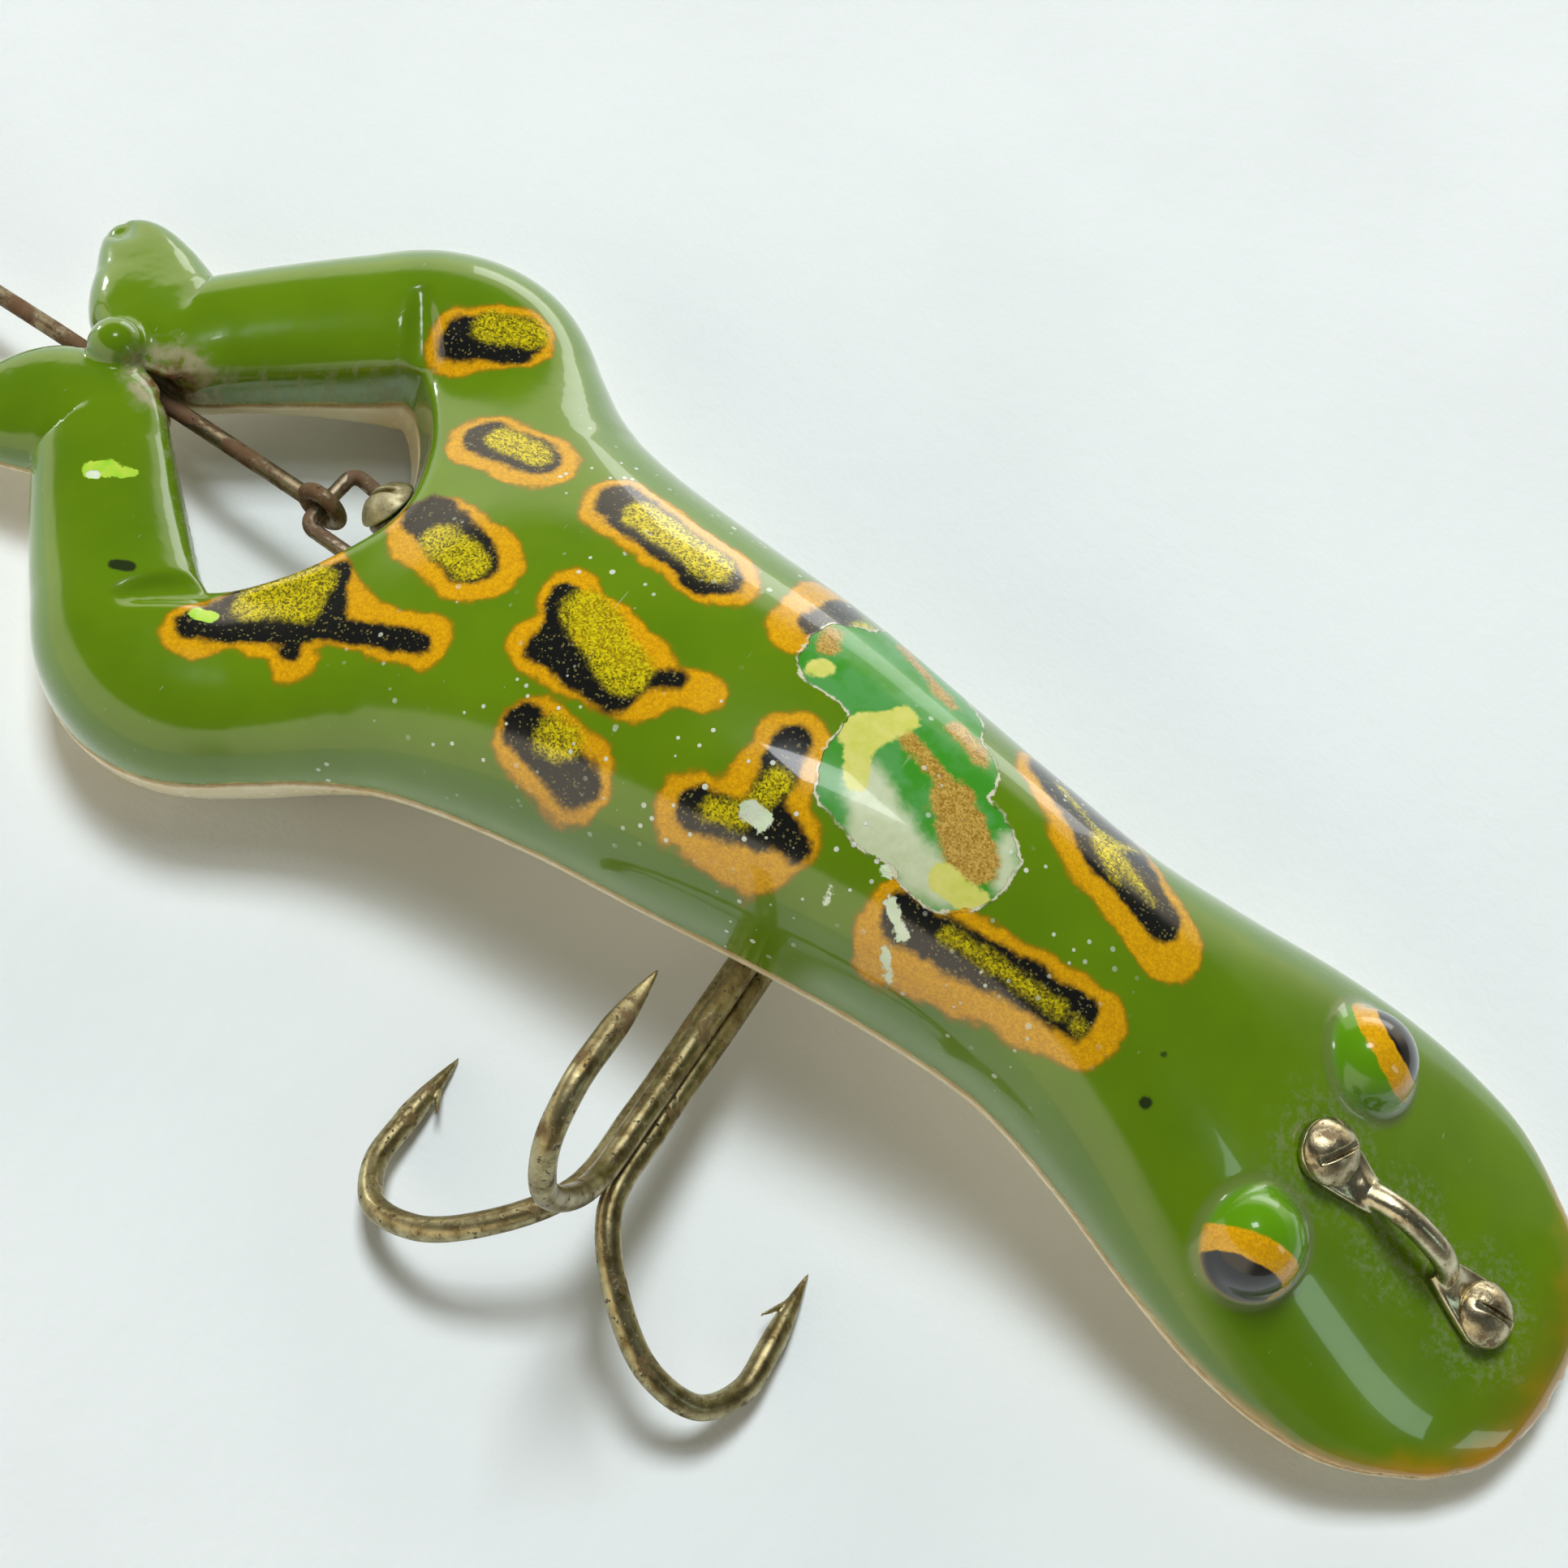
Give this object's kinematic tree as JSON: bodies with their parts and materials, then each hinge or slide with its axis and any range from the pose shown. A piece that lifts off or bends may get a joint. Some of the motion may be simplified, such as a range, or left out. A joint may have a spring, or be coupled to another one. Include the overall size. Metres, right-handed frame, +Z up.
{
  "type": "frog fishing lure",
  "caption": "Moulded plastic frog-shaped fishing lure with line tie on the head, a treble hook swinging under the belly and a long trailing hook through the feet.",
  "frame": {"origin": "bottom centre of the bounding box of the whole lure, on the surface it rests on", "axes": "+X toward the nose, +Y to the frog's left, +Z up"},
  "size_m": [0.1266, 0.0524, 0.0222],
  "materials": {
    "green_lacquer": "glossy sprayed lacquer over moulded plastic, spotted, chipped and scratched",
    "cream_plastic": "glossy cream moulded plastic, slightly yellowed",
    "nickel_bar": "nickel-plated bar, tarnished and scuffed",
    "nickel_screws": "nickel-plated slotted round-head screws, tarnished",
    "tarnished_screws": "dull tarnished slotted round-head screws",
    "hanger_wire": "dull oxidised steel wire",
    "treble_steel": "old plated hook wire with rust and dark pitting",
    "braze": "brazing between the shanks",
    "bronzed_wire": "bronzed and rusted hook wire"
  },
  "bodies": {
    "frog": {"back_shell": "green_lacquer", "belly_shell": "cream_plastic", "line_tie_bar": "nickel_bar", "line_tie_rear_screw": "nickel_screws", "line_tie_front_screw": "nickel_screws", "belly_hanger": "hanger_wire", "belly_hanger_screw": "tarnished_screws", "rear_hanger": "hanger_wire", "rear_hanger_screw": "tarnished_screws"},
    "treble": {"treble_double_wire": "treble_steel", "treble_third_wire": "treble_steel", "treble_braze": "braze"},
    "trailing_hook": {"rear_hook": "bronzed_wire"}
  },
  "joints": [
    {"name": "belly_hook_swing", "type": "hinge", "parent": "frog", "child": "treble", "pos_m": [0.01275, 0.00571, 0.00347], "axis": [1, 0, 0], "range_deg": [-2, 203]},
    {"name": "rear_hook_pivot", "type": "hinge", "parent": "frog", "child": "trailing_hook", "pos_m": [-0.02395, 0.00571, 0.00557], "axis": [0, 1, 0], "range_deg": [0, 4]}
  ]
}
